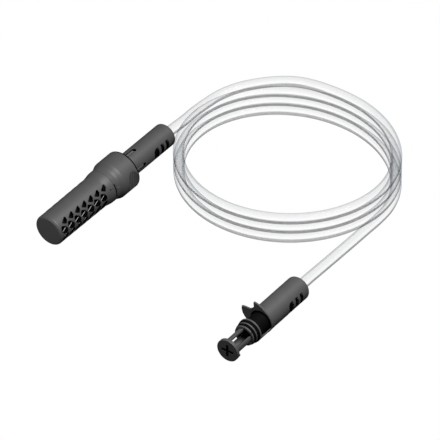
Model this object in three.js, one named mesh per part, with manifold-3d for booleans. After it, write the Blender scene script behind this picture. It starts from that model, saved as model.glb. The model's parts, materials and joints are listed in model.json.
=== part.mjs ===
// A suction hose for a small pump or washer: a coiled clear hose with an intake strainer on one end
// and a valved plug coupling on the other. Millimetres, +Z up. The origin is on the ground, below the
// middle of the whole object without its hose.
import * as THREE from "three";
import { mergeVertices } from "three/addons/utils/BufferGeometryUtils.js";
import Module from "manifold-3d";

const wasm = await Module();
wasm.setup();

// ---------------------------------------------------------------- driving dimensions
const GAP = 0.3; // left between pieces that touch
const ROUND = 32; // sides of the shells
const SMALL_ROUND = 24; // sides of the inner pieces
const rad = THREE.MathUtils.degToRad;

const hose = { outer: 6, sides: 10 };

// The oval coil. A hose point at turn angle t is centre + back * cos t + side * sin t, seen from above,
// and t runs clockwise. Every strand lies on the one below.
const coil = {
  centre: [5.5, 4.3],
  back: [9.3, 125.5],
  side: [114.5, -2.2],
  pitch: 12.2,
  strands: 4,
  segments: 72,
};

// The strainer assembly lies on the edge of its end cap and on its collar. s runs from the end cap's
// face towards the hose.
const strainer = {
  x: -236.2,
  y: 146.1,
  yaw: -1.83,
  capRadius: 18.1,
  skirtRadius: 20.2,
  collarRadius: 23,
  seamS: 91,
  headS: 91.4,
  flareFromS: 97,
  flareToS: 106,
  collarS: 128.5,
  endS: 204,
  sleeveRadius: 14,
};
const capFillet = 3;
// The tilt, in degrees, at which the cap's rounded edge and the collar's first edge touch the ground.
strainer.tilt = 2.722;
strainer.z = capFillet + (strainer.capRadius - capFillet) * Math.cos(rad(strainer.tilt))
  - capFillet * Math.sin(rad(strainer.tilt));

// The coupling assembly lies on the rim of its sleeve. s runs from the valve button's face to the hose.
const coupling = {
  x: -287.1,
  y: -125.5,
  rimRadius: 15,
  mouthS: 59.5,
  cradleS: 43,
  endS: 129.5,
  sleeveRadius: 14,
  buttonRadius: 13.1,
  buttonThick: 4,
  legRadius: 9.2,
  legInner: 6.7,
  lipS: 29.5,
  bore: 9.5,
  neckRadius: 11,
};

// Moves the layout so that the origin is below the middle of the two fittings.
const layoutShift = [159.508, -12.954];

// ---------------------------------------------------------------- materials
function plastic(name, color, roughness) {
  return new THREE.MeshStandardMaterial({ name, color, roughness, metalness: 0 });
}
const charcoal = plastic("charcoal_plastic", 0x4a4b4c, 0.5);
const innerPlastic = plastic("inner_plastic", 0x6e7072, 0.55);
const blackRubber = plastic("black_rubber", 0x161616, 0.75);
const meshFabric = plastic("strainer_mesh", 0x2e3032, 0.8);
const springSteel = new THREE.MeshStandardMaterial({
  name: "spring_steel", color: 0xb9bcc0, roughness: 0.3, metalness: 1,
});
const clearHose = new THREE.MeshStandardMaterial({
  name: "clear_hose", color: 0xdfe3e4, roughness: 0.15, metalness: 0, transparent: true, opacity: 0.5,
});

// ---------------------------------------------------------------- shape helpers
// Bases that lay a revolved (Y up) or extruded (Z up) geometry along the fitting's own +X axis.
const LATHE_TO_X = new THREE.Matrix4().makeBasis(
  new THREE.Vector3(0, 0, 1), new THREE.Vector3(1, 0, 0), new THREE.Vector3(0, 1, 0),
);
const EXTRUDE_TO_X = new THREE.Matrix4().makeBasis(
  new THREE.Vector3(0, 1, 0), new THREE.Vector3(0, 0, 1), new THREE.Vector3(1, 0, 0),
);

/** A geometry as a solid: shared vertices merged, empty triangles dropped, faces pointing out. */
function solid(geometry) {
  const bare = geometry.clone();
  bare.deleteAttribute("normal");
  bare.deleteAttribute("uv");
  const merged = mergeVertices(bare, 1e-4);
  const p = merged.attributes.position;
  const index = merged.index.array;
  const triangles = [];
  let volume = 0;
  const a = new THREE.Vector3(), b = new THREE.Vector3(), c = new THREE.Vector3();
  for (let i = 0; i < index.length; i += 3) {
    const [u, v, w] = [index[i], index[i + 1], index[i + 2]];
    if (u === v || v === w || w === u) continue;
    triangles.push(u, v, w);
    a.fromBufferAttribute(p, u);
    b.fromBufferAttribute(p, v);
    c.fromBufferAttribute(p, w);
    volume += a.dot(b.cross(c));
  }
  if (volume < 0) triangles.reverse();
  return new wasm.Manifold(new wasm.Mesh({
    numProp: 3,
    vertProperties: new Float32Array(p.array),
    triVerts: new Uint32Array(triangles),
  }));
}

/** A named mesh of a solid. */
function piece(name, body, material) {
  const mesh = body.getMesh();
  const geometry = new THREE.BufferGeometry();
  geometry.setAttribute("position", new THREE.BufferAttribute(mesh.vertProperties, 3));
  geometry.setIndex(new THREE.BufferAttribute(mesh.triVerts, 1));
  geometry.computeVertexNormals();
  const out = new THREE.Mesh(geometry, material);
  out.name = name;
  return out;
}

/** A solid of revolution about +X. The outline's points are [s, radius], closed on the axis or itself. */
function turned(outline, sides = ROUND) {
  const points = outline.map(([s, r]) => new THREE.Vector2(r, s));
  points.push(points[0].clone());
  return solid(new THREE.LatheGeometry(points, sides).applyMatrix4(LATHE_TO_X));
}

/** A plain ring about +X. */
function ring(s0, s1, rInner, rOuter, sides = SMALL_ROUND) {
  return turned([[s0, rInner], [s0, rOuter], [s1, rOuter], [s1, rInner]], sides);
}

/** A disc or rod about +X. */
function rod(s0, s1, radius, sides = SMALL_ROUND) {
  return turned([[s0, 0], [s0, radius], [s1, radius], [s1, 0]], sides);
}

/** An O-ring about +X. */
function seal(s, radius, cord, sides = SMALL_ROUND) {
  const outline = [];
  for (let k = 0; k < 8; k++) {
    const a = (2 * Math.PI * k) / 8;
    outline.push([s + cord * Math.cos(a), radius + cord * Math.sin(a)]);
  }
  return turned(outline, sides);
}

/** A flat shape in the Y-Z plane, thick from s0 to s1 along +X. */
function plate(shape, s0, s1, curveSegments = 12) {
  const geometry = new THREE.ExtrudeGeometry(shape, { depth: s1 - s0, bevelEnabled: false, curveSegments });
  return solid(geometry.translate(0, 0, s0).applyMatrix4(EXTRUDE_TO_X));
}

/** A box between two corners. */
function block(lo, hi) {
  const size = hi.map((v, k) => v - lo[k]);
  const geometry = new THREE.BoxGeometry(...size);
  return solid(geometry.translate(...lo.map((v, k) => v + size[k] / 2)));
}

/** Part of a ring, centred at an angle from up (+Z) towards +Y and as wide as given, in degrees. */
function sector(s0, s1, rInner, rOuter, centre, width) {
  const from = rad(90 - centre - width / 2);
  const to = rad(90 - centre + width / 2);
  const shape = new THREE.Shape();
  shape.absarc(0, 0, rOuter, from, to, false);
  shape.absarc(0, 0, rInner, to, from, true);
  return plate(shape, s0, s1, Math.max(3, Math.ceil(width / 12)));
}

/** A solid made at up (+Z), turned about +X to an angle from up towards +Y, in degrees. */
function aimed(body, angle) {
  return body.rotate([-angle, 0, 0]);
}

function union(bodies) {
  return wasm.Manifold.union(bodies);
}

/** A round wire coil about +X. */
function spring(s0, s1, radius, wire, turns) {
  const path = new THREE.Curve();
  path.getPoint = (t, target = new THREE.Vector3()) => {
    const a = 2 * Math.PI * turns * t;
    return target.set(s0 + wire + (s1 - s0 - 2 * wire) * t, radius * Math.sin(a), radius * Math.cos(a));
  };
  const shape = new THREE.Shape().absarc(0, 0, wire, 0, 2 * Math.PI, false);
  const geometry = new THREE.ExtrudeGeometry(shape, {
    extrudePath: path, steps: Math.round(turns * 12), curveSegments: 3, bevelEnabled: false,
  });
  return solid(geometry);
}

// ---------------------------------------------------------------- what both hose ends share
/** The outside of a grip sleeve: a round body with a rounded hose end, made from s = from to endS. */
function sleeveOutline(from, endS, radius, inner) {
  const r = 3.2;
  return [
    ...inner,
    [endS, 6.5],
    [endS, radius - r],
    [endS - 0.3 * r, radius - 0.32 * r],
    [endS - r, radius],
    [from, radius],
  ];
}

/** Cuts three finger grooves round each side of a grip sleeve, near its hose end. */
function withFingerGrips(body, endS, radius) {
  const [half, floor, middle, width] = [1.6, radius - 2.2, 97, 84];
  const grooves = [15, 23.5, 32].flatMap((s) => [-middle, middle].map((angle) => (
    sector(endS - s - half, endS - s + half, floor, radius + 1, angle, width)
  )));
  return body.subtract(union(grooves));
}

/** A slit ring that grips the hose inside a sleeve. */
function hoseCollet(s0, s1) {
  const body = turned([[s0, 6.3], [s0, 7.6], [s0 + 3, 8.6], [s1, 8.6], [s1, 6.3]]);
  const slits = [0, 60, 120].map((a) => block([s0 - 1, -0.5, -10], [s1 - 3, 0.5, 10]).rotate([a, 0, 0]));
  return body.subtract(union(slits));
}

/** The outline of a barbed hose tail from s0 to s1, to be closed by the caller along its bore. */
function barbTeeth(s0, s1) {
  const teeth = [];
  const count = 3;
  const step = (s1 - s0) / count;
  for (let k = 0; k < count; k++) {
    teeth.push([s0 + k * step, 4.35], [s0 + (k + 1) * step - 0.4, 3.9]);
  }
  return teeth;
}

// ---------------------------------------------------------------- intake strainer
// Both sides of the cage have rows of windows, which mirror each other above and below the middle.
// An outline's points are [s, arc], arc growing from the top down, and angle is the row's, from up.
const windows = {
  count: 7,
  pitch: 10.95,
  rows: [
    { firstS: 12, angle: 46.5, outline: [[3.7, -3.5], [3.9, 0.4], [1.3, 3.6], [-3.8, 0.6]] },
    {
      firstS: 7.3,
      angle: 73.5,
      outline: [[-4, -0.6], [-1.9, -4.9], [1.9, -2.9], [4.4, 0.9], [4, 4.3], [2.2, 4.5], [-1.2, 3.3]],
    },
  ],
};

/** The cutters of all windows on the -Y side's upper half. */
function windowCutters() {
  const cutters = [];
  for (const { firstS, angle, outline } of windows.rows) {
    const shape = new THREE.Shape(outline.map(([s, arc]) => new THREE.Vector2(s, -arc)));
    const geometry = new THREE.ExtrudeGeometry(shape, { depth: 8, bevelEnabled: false });
    for (let k = 0; k < windows.count; k++) {
      const body = solid(geometry.clone().translate(firstS + windows.pitch * k, 0, 14.5));
      cutters.push(aimed(body.mirror([0, 1, 0]), -angle));
    }
  }
  return union(cutters);
}

function strainerCage() {
  const { capRadius, skirtRadius, seamS } = strainer;
  const arc = [1, 2, 3].map((k) => {
    const a = (Math.PI / 2) * (k / 4);
    return [capFillet * (1 - Math.sin(a)), capRadius - capFillet * (1 - Math.cos(a))];
  }).reverse();
  let body = turned([
    [0, 0],
    [0, capRadius - capFillet],
    ...arc,
    [capFillet, capRadius],
    [79.5, capRadius + 0.5],
    [82.5, capRadius + 0.9],
    [88, skirtRadius - 0.2],
    [seamS, skirtRadius],
    [seamS, 17],
    [79, 17],
    [78.4, 16.8],
    [4, 16.5],
    [2.2, 14.6],
    [2.2, 0],
  ]);
  const quarter = windowCutters();
  const half = quarter.add(quarter.mirror([0, 0, 1]));
  body = body.subtract(half.add(half.mirror([0, 1, 0])));
  // Two lugs inside the skirt, which run in the head's bayonet tracks, and a raised mark outside it.
  const lugs = [0, 180].map((a) => sector(87.2, 89.6, 16.3, 17.4, a, 14));
  const mark = aimed(block([84.5, -0.5, 18.6], [89.8, 0.5, 20.75]), -38);
  return body.add(union([...lugs, mark]));
}

// The basket's slanted slats. Angles are from up, and lean is in mm for each degree.
const slats = { firstS: 7.6, radius: 14.9, wire: 0.6, lean: 0.72, middle: 75, from: 57, to: 123 };

/** The inner basket: rings, four bars on each side's edges, and slanted slats between them. */
function strainerBasket() {
  const [inner, outer] = [13.4, 15.6];
  const rings = [18.8, 40.7, 62.6].map((s) => ring(s, s + 1.6, inner, outer));
  const ends = [ring(4.3, 5.9, inner, outer), ring(79.5, 81.6, inner, outer + 0.2)];
  const bars = [56, 124, -56, -124].map((a) => aimed(block([5, -0.6, inner], [81, 0.6, outer]), a));
  const slanted = [];
  for (let k = 0; k < windows.count; k++) {
    for (const side of [-1, 1]) slanted.push(slat(slats.firstS + windows.pitch * k, side));
  }
  const envelope = rod(5, 80, outer, ROUND);
  return union([...rings, ...ends, ...bars, union(slanted).intersect(envelope)]);
}

/** A slat that passes the middle of a window at s, and leans back towards the cap below it. */
function slat(s, side) {
  const { radius, wire, lean, middle, from, to } = slats;
  const path = new THREE.Curve();
  path.getPoint = (t, target = new THREE.Vector3()) => {
    const angle = from + (to - from) * t;
    const [y, z] = [-side * radius * Math.sin(rad(angle)), radius * Math.cos(rad(angle))];
    return target.set(s - lean * (angle - middle), y, z);
  };
  const shape = new THREE.Shape().absarc(0, 0, wire, 0, 2 * Math.PI, false);
  return solid(new THREE.ExtrudeGeometry(shape, {
    extrudePath: path, steps: 8, curveSegments: 3, bevelEnabled: false,
  }));
}

function strainerMesh() {
  return turned([[4, 0], [4, 13], [81.4, 13], [81.4, 12.5], [4.5, 12.5], [4.5, 0]]);
}

function strainerHead() {
  const { skirtRadius, collarRadius, headS, flareFromS, flareToS, collarS } = strainer;
  const bore = 13.4;
  const flare = [0.15, 0.35, 0.65, 0.85].map((t) => {
    const rise = t * t * (3 - 2 * t);
    return [flareFromS + (flareToS - flareFromS) * t, skirtRadius + (collarRadius - skirtRadius) * rise];
  });
  let body = turned([
    [82, bore],
    [82, 16.4],
    [82.4, 16.7],
    [headS, 16.7],
    [headS, 17.4],
    [93, 17.4],
    [93, 19.5],
    [headS, 19.5],
    [headS, skirtRadius],
    [flareFromS, skirtRadius],
    ...flare,
    [flareToS, collarRadius],
    [collarS - 0.6, collarRadius],
    [collarS, collarRadius - 0.6],
    [collarS, 14.5],
    [119.8, 14.5],
    [119.8, bore],
    [95.5, bore],
    [95.5, 10.5],
    [93, 10.5],
    [93, bore],
  ]);
  // Bayonet tracks for the cage's lugs: an entry slot, then a stretch round the neck.
  const tracks = [0, 180].flatMap((a) => [
    sector(86.8, 90, 15.8, 18, a - 19, 56),
    sector(81, 90, 15.8, 18, a - 38, 18),
  ]);
  // Finger scoops on both sides of the collar.
  const scoops = [-1, 1].map((side) => solid(
    new THREE.CylinderGeometry(14, 14, 60, ROUND).rotateX(Math.PI / 2).translate(117, side * 34.2, 0),
  ));
  // Lock marks: a pointer at the locked place and a bar at the open place.
  const pointer = new THREE.Shape();
  pointer.moveTo(-2.4, -2);
  pointer.lineTo(2.4, 0);
  pointer.lineTo(-2.4, 2);
  pointer.closePath();
  const raised = new THREE.ExtrudeGeometry(pointer, { depth: 1.2, bevelEnabled: false });
  const marks = [
    aimed(solid(raised.translate(96.5, 0, skirtRadius - 0.7)), -38),
    aimed(block([93.5, -0.5, skirtRadius - 0.7], [99, 0.5, skirtRadius + 0.5]), -76),
  ];
  return body.subtract(union([...tracks, ...scoops])).add(union(marks));
}

function footValveSeat() {
  const rim = ring(95.8, 98.6, 5.2, 13.1);
  const hub = ring(95.8, 98.6, 1.9, 3);
  const spokes = [0, 120, 240].map((a) => aimed(block([96, -0.7, 2.5], [97.8, 0.7, 6]), a));
  return union([rim, hub, ...spokes]);
}

function footValvePoppet() {
  return union([rod(90, 101.4, 1.6), rod(100.6, 102.6, 8.6), rod(102.4, 105.5, 2.6)]);
}

function outletSpigot() {
  const flange = 13.1;
  const tube = turned([
    [112, 4],
    [112, flange],
    [113.2, flange],
    [113.2, 11.6],
    [116, 11.6],
    [116, flange],
    [117.2, flange],
    [117.2, 10.2],
    [151, 10.2],
    [152, 9.2],
    [152, 4.6],
    ...barbTeeth(153, 186),
    [186, 3.6],
    [186, 3],
    [151, 3],
    [149, 4],
  ], SMALL_ROUND);
  const tongues = [0, 90, 180, 270].map((a) => aimed(block([120.2, -1.2, 9.6], [146.2, 1.2, 13.6]), a));
  return union([tube, ...tongues]);
}

function outletSleeve() {
  const { endS, sleeveRadius } = strainer;
  const from = 122.5;
  const slotEndS = 149.5;
  const inner = [[from, 11.2], [158, 11.2], [160, 9], [196, 9], [198, 6.5]];
  let body = turned(sleeveOutline(from, endS, sleeveRadius, inner));
  const slot = new THREE.Shape();
  slot.moveTo(from - 1, -1.5);
  slot.lineTo(slotEndS - 1.5, -1.5);
  slot.absarc(slotEndS - 1.5, 0, 1.5, -Math.PI / 2, Math.PI / 2, false);
  slot.lineTo(from - 1, 1.5);
  slot.closePath();
  const cutter = new THREE.ExtrudeGeometry(slot, { depth: 6, bevelEnabled: false, curveSegments: 4 });
  const slots = [0, 90, 180, 270].map((a) => aimed(solid(cutter.clone().translate(0, 0, 10)), a));
  body = body.subtract(union(slots));
  return withFingerGrips(body, endS, sleeveRadius);
}

function strainerAssembly() {
  const group = new THREE.Group();
  group.position.set(strainer.x, strainer.y, strainer.z);
  group.rotation.set(0, -rad(strainer.tilt), rad(strainer.yaw), "ZYX");
  group.add(
    piece("strainer_cage", strainerCage(), charcoal),
    piece("strainer_basket", strainerBasket(), innerPlastic),
    piece("strainer_mesh", strainerMesh(), meshFabric),
    piece("cage_seal_ring", seal(92.05, 18.45, 0.7), blackRubber),
    piece("strainer_head", strainerHead(), charcoal),
    piece("foot_valve_seat", footValveSeat(), innerPlastic),
    piece("foot_valve_poppet", footValvePoppet(), innerPlastic),
    piece("foot_valve_gasket", ring(98.9, 100.3, 5.6, 8), blackRubber),
    piece("foot_valve_spring", spring(102.9, 111.7, 5, 0.45, 4.5), springSteel),
    piece("outlet_spigot", outletSpigot(), innerPlastic),
    piece("outlet_spigot_seal", seal(114.6, 12.45, 0.8), blackRubber),
    piece("outlet_sleeve", outletSleeve(), charcoal),
    piece("outlet_hose_collet", hoseCollet(180, 193), innerPlastic),
  );
  return group;
}

// ---------------------------------------------------------------- valve coupling
/**
 * The fin plate at the sleeve's mouth: two claws at the top and a foot below, given as [angle, radius].
 * The rest of its edge stands a little proud of the sleeve.
 */
function finPlate() {
  const rim = coupling.rimRadius;
  const outline = [
    [-35, rim], [-25, 15.3], [-14, 16.3], [-4, 17.8], [6, 19.6], [15, 21.4], [23.5, 23],
    [27, 20.5], [30, 17.8], [36, 16.6], [46, 16.4], [54, 17], [60, 20], [65, 23.4], [69, 26],
    [77, 25.2], [87, 23.4], [97, 21.2], [107, 18.9], [117, 17], [128, 15.5], [140, rim],
    [155, rim], [168, rim], [180, rim], [192, rim], [205, rim], [225, 14.4], [240, 14.3], [255, 14.3],
    [270, 14.3], [285, 14.3], [300, 14.4], [313, 14.7],
  ];
  const shape = new THREE.Shape();
  outline.forEach(([angle, r], k) => {
    const [y, z] = [r * Math.sin(rad(angle)), r * Math.cos(rad(angle))];
    if (k) shape.lineTo(y, z);
    else shape.moveTo(y, z);
  });
  shape.closePath();
  return plate(shape, coupling.mouthS, coupling.mouthS + 2.2);
}

function couplingSleeve() {
  const { mouthS, cradleS, endS, sleeveRadius } = coupling;
  const inner = [[67, 11.4], [67, 12.6], [90, 12.6], [93, 9], [121, 9], [123, 6.5]];
  const mouth = [[mouthS, 12.9], [mouthS + 4, 12.9], [mouthS + 4, 11.4]];
  let body = turned([...sleeveOutline(mouthS, endS, sleeveRadius, inner), ...mouth]);
  body = body.add(finPlate().subtract(rod(mouthS - 1, mouthS + 3, 13.2, ROUND)));
  // A half pipe below the plug, from behind its flange to the mouth.
  body = body.add(sector(cradleS, mouthS + 1, 12.9, sleeveRadius, 180, 150));
  return withFingerGrips(body, endS, sleeveRadius);
}

function couplingPlug() {
  const { lipS, bore, neckRadius } = coupling;
  let body = turned([
    [lipS, bore],
    [lipS, 11.3],
    [lipS + 0.4, 11.7],
    [lipS + 2, 11.7],
    [lipS + 2, 10.3],
    [lipS + 4.9, 10.3],
    [lipS + 4.9, 12.7],
    [lipS + 6.8, 12.7],
    [lipS + 6.8, 11],
    [lipS + 9.9, 11],
    [lipS + 9.9, 14.1],
    [lipS + 12, 14.1],
    [lipS + 12.6, neckRadius],
    [68, neckRadius],
    [68, 10.3],
    [69.6, 10.3],
    [69.6, neckRadius],
    [79, neckRadius],
    [79, bore],
    [59, bore],
    [59, 5.5],
    [56, 5.5],
    [54, bore],
  ], SMALL_ROUND);
  // A small slit in the front lip.
  const slit = aimed(block([lipS - 1, -0.5, 9], [lipS + 2.5, 0.5, 13]), -50);
  return body.subtract(slit);
}

function couplingClip() {
  return sector(68.2, 69.3, 10.5, 12.3, 180, 290);
}

function valveButton() {
  const { buttonRadius, buttonThick, legRadius, legInner } = coupling;
  const disc = turned([
    [0, 0], [0, buttonRadius - 0.6], [0.6, buttonRadius], [buttonThick, buttonRadius], [buttonThick, 0],
  ], SMALL_ROUND);
  const cross = [[14, 2], [2, 14]].map(([w, h]) => block([-1, -w / 2, -h / 2], [1.2, w / 2, h / 2]));
  const legs = [-91, 29, 149].map((a) => sector(buttonThick - 1, 36, legInner, legRadius, a, 48));
  const lug = aimed(block([buttonThick - 1, -1.5, 10.5], [buttonThick + 2, 1.5, 13]), -108);
  const tube = ring(34, 48, legInner, legRadius);
  const ports = [0, 120, 240].map((a) => rod(44, 50, 2.1, 16).translate([0, 0, 5]).rotate([a, 0, 0]));
  const web = rod(46, 48, legInner + 0.5).subtract(union(ports));
  const stem = rod(46, 62, 2.4);
  const head = turned([[61.9, 0], [61.9, 8], [64.4, 8], [64.8, 3.2], [67, 3], [67, 0]], SMALL_ROUND);
  return union([disc, ...legs, lug, tube, web, stem, head]).subtract(union(cross));
}

/** The hose tail, whose flange closes the valve chamber and carries the spring. */
function couplingBarb() {
  return turned([
    [74.3, 3.4],
    [74.3, 9.2],
    [79.4, 9.2],
    [79.4, 10.8],
    [81, 10.8],
    [82.5, 5],
    ...barbTeeth(84, 112),
    [112, 3.6],
    [112, 3],
    [84, 3],
  ], SMALL_ROUND);
}

function couplingAssembly() {
  const group = new THREE.Group();
  group.position.set(coupling.x, coupling.y, coupling.rimRadius);
  group.add(
    piece("coupling_sleeve", couplingSleeve(), charcoal),
    piece("coupling_plug", couplingPlug(), charcoal),
    piece("plug_seal_front", seal(coupling.lipS + 3.45, 11.5, 1.15), blackRubber),
    piece("plug_seal_rear", seal(coupling.lipS + 8.35, 12.4, 1.3), blackRubber),
    piece("coupling_retaining_clip", couplingClip(), springSteel),
    piece("valve_button", valveButton(), charcoal),
    piece("valve_button_seal", seal(60.45, 6.7, 1.1), blackRubber),
    piece("valve_spring", spring(65.2, 74, 5.4, 0.5, 4), springSteel),
    piece("coupling_hose_barb", couplingBarb(), innerPlastic),
    piece("coupling_hose_collet", hoseCollet(105, 118), innerPlastic),
  );
  return group;
}

// ---------------------------------------------------------------- hose
const COIL_END = 360 * (coil.strands - 0.5);
const coilHeight = hose.outer * 2 + coil.pitch * (coil.strands - 1);

/** A point of the oval at a turn angle, moved outwards by offset, at height z. */
function coilPoint(turn, z, offset = 0) {
  const [c, s] = [Math.cos(rad(turn)), Math.sin(rad(turn))];
  const run = [0, 1].map((k) => coil.side[k] * c - coil.back[k] * s);
  const length = Math.hypot(...run);
  const [x, y] = [0, 1].map((k) => coil.centre[k] + coil.back[k] * c + coil.side[k] * s);
  return new THREE.Vector3(x - (offset * run[1]) / length, y + (offset * run[0]) / length, z);
}

/** The outer shape of the whole coil, grown by margin. */
function coilRing(margin) {
  const wall = hose.outer + margin;
  const outline = (offset) => Array.from({ length: coil.segments }, (_, k) => {
    const p = coilPoint((360 * k) / coil.segments, 0, offset);
    return new THREE.Vector2(p.x, p.y);
  });
  const shape = new THREE.Shape(outline(wall));
  shape.holes.push(new THREE.Path(outline(-wall).reverse()));
  const geometry = new THREE.ExtrudeGeometry(shape, { depth: coilHeight + 2 * margin, bevelEnabled: false });
  return solid(geometry.translate(0, 0, -margin));
}

/** A hose length along points, ended where it meets the coil. */
function lead(points, steps) {
  const path = new THREE.CatmullRomCurve3(points, false, "centripetal");
  const shape = new THREE.Shape().absarc(0, 0, hose.outer, 0, 2 * Math.PI, false);
  const geometry = new THREE.ExtrudeGeometry(shape, {
    extrudePath: path, steps, curveSegments: hose.sides / 2, bevelEnabled: false,
  });
  const pieces = solid(geometry).subtract(coilRing(GAP)).decompose();
  return pieces.reduce((best, one) => (one.volume() > best.volume() ? one : best));
}

/** The centre of a fitting's hose end, one gap further out. */
function hoseExit(assembly, endS) {
  assembly.updateMatrixWorld(true);
  return new THREE.Vector3(endS + GAP, 0, 0).applyMatrix4(assembly.matrixWorld);
}

const strainerGroup = strainerAssembly();
const couplingGroup = couplingAssembly();

// From the strainer, beside the coil and then up over its second strand on to the top.
const outletRoute = [
  hoseExit(strainerGroup, strainer.endS),
  new THREE.Vector3(-14, 139.7, 26.6),
  new THREE.Vector3(4, 140.1, 25.4),
  new THREE.Vector3(21, 140.6, 25),
  new THREE.Vector3(40, 139, 25.4),
  new THREE.Vector3(60, 135, 26.9),
  new THREE.Vector3(79.5, 124.6, 29.6),
  new THREE.Vector3(95.5, 108.4, 33),
  new THREE.Vector3(107.7, 89.1, 36.8),
  new THREE.Vector3(115.5, 67.9, 40.4),
];
// From under the coil's front to the coupling.
const couplingRoute = [
  coilPoint(COIL_END - 12, hose.outer),
  coilPoint(COIL_END, hose.outer),
  new THREE.Vector3(-30, -121.1, 6.3),
  new THREE.Vector3(-60, -121.7, 7.6),
  new THREE.Vector3(-90, -122.8, 9.9),
  new THREE.Vector3(-120, -124.2, 12.7),
  new THREE.Vector3(-140, -125, 14.4),
  hoseExit(couplingGroup, coupling.endS),
];

const layout = new THREE.Group();
layout.position.set(layoutShift[0], layoutShift[1], 0);
layout.add(
  strainerGroup,
  couplingGroup,
  piece("hose_coil", coilRing(0), clearHose),
  piece("hose_lead_outlet", lead(outletRoute, 20), clearHose),
  piece("hose_lead_coupling", lead(couplingRoute, 18), clearHose),
);

const suctionHose = new THREE.Group();
suctionHose.add(layout);
export default suctionHose;
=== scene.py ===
"""The looks of a coiled suction hose with an intake strainer and a valved plug coupling.

Both fittings are described in their own frame, in millimetres: s runs along the fitting towards the
hose, y across it and z up. An angle round a fitting is measured from up towards +y, in degrees.
"""

import json
import math

import bmesh
import bpy
from mathutils import Matrix, Vector

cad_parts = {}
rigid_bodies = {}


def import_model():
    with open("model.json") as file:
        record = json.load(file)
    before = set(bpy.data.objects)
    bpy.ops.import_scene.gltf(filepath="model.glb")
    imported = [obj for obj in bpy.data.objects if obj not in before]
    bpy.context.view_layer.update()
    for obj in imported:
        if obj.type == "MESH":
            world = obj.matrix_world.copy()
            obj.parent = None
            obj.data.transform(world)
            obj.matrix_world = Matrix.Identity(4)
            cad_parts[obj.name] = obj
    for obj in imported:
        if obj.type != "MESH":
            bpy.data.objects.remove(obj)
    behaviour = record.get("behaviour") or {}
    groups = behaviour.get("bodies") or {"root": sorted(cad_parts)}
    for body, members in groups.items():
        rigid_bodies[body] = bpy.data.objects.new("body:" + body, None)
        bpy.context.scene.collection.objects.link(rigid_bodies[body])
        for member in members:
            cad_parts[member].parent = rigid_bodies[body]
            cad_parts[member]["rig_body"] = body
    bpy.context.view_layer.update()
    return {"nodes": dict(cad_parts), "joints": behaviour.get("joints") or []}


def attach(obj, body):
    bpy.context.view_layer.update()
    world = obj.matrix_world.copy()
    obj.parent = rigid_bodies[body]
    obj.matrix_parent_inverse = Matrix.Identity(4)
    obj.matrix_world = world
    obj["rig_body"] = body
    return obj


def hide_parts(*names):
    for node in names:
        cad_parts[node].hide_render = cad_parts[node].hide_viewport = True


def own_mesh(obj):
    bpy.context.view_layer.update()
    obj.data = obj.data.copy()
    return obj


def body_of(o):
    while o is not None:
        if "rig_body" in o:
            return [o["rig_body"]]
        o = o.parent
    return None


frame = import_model()

MM = 0.001
ROUND = 96  # sides of a turned piece
UP = Vector((0, 0, 1))
JOINTS = {joint["name"]: joint for joint in frame["joints"]}


def rad(degrees):
    return math.radians(degrees)


def smooth(t):
    t = min(max(t, 0.0), 1.0)
    return t * t * (3 - 2 * t)


# ------------------------------------------------------------------ the two fittings' frames
# Where the hose goes into each fitting's sleeve, as s.
OUTLET_END, COUPLING_END = 204, 129.5


def fitting_frame(joint, s_at_joint):
    """From a fitting's own millimetres to the row frame, by a hinge on the fitting's axis."""
    along = Vector(JOINTS[joint]["axis"]).normalized()
    across = UP.cross(along).normalized()
    above = along.cross(across)
    origin = Vector(JOINTS[joint]["pos_m"]) - along * s_at_joint * MM
    turn = Matrix((along, across, above)).transposed().to_4x4()
    return Matrix.Translation(origin) @ turn


STRAINER = fitting_frame("cage_twist", 0)
COUPLING = fitting_frame("coupling_sleeve_twist", 59.5)


# ------------------------------------------------------------------ camera
CAMERA = {
    "above": 36.9, "side": -55, "distance": 4.36, "lens": 327,
    "opposite": (0.1595, -0.01295, 0), "target": (0.0975, 0.03345, -0.0322),
}


def make_camera():
    """A long lens, far away and well above, which looks at the hose from the fittings' side.

    It stands straight back from one point and then swings, without rolling, to look at the target.
    """
    above, side = rad(CAMERA["above"]), rad(CAMERA["side"])
    back = Vector((
        math.sin(side) * math.cos(above), -math.cos(side) * math.cos(above), math.sin(above),
    ))
    data = bpy.data.cameras.new("camera")
    data.lens = CAMERA["lens"]
    camera = bpy.data.objects.new("camera", data)
    camera.location = Vector(CAMERA["opposite"]) + back * CAMERA["distance"]
    swing = (-back).rotation_difference(Vector(CAMERA["target"]) - camera.location)
    camera.rotation_mode = "QUATERNION"
    camera.rotation_quaternion = swing @ back.to_track_quat("Z", "Y")
    bpy.context.scene.collection.objects.link(camera)
    bpy.context.scene.camera = camera


make_camera()


# ------------------------------------------------------------------ materials
def node_tree(name):
    material = bpy.data.materials.new(name)
    material.use_nodes = True
    nodes, links = material.node_tree.nodes, material.node_tree.links
    return material, nodes, links, nodes["Principled BSDF"]


def noise(nodes, links, place, scale, detail=2):
    """A value from 0 to 1 that wanders through the object."""
    texture = nodes.new("ShaderNodeTexNoise")
    texture.inputs["Scale"].default_value, texture.inputs["Detail"].default_value = scale, detail
    links.new(place.outputs["Object"], texture.inputs["Vector"])
    return texture.outputs["Fac"]


def spread(nodes, links, value, low, high):
    """A value from 0 to 1, spread from low to high."""
    node = nodes.new("ShaderNodeMapRange")
    node.inputs["To Min"].default_value, node.inputs["To Max"].default_value = low, high
    links.new(value, node.inputs["Value"])
    return node.outputs["Result"]


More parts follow.
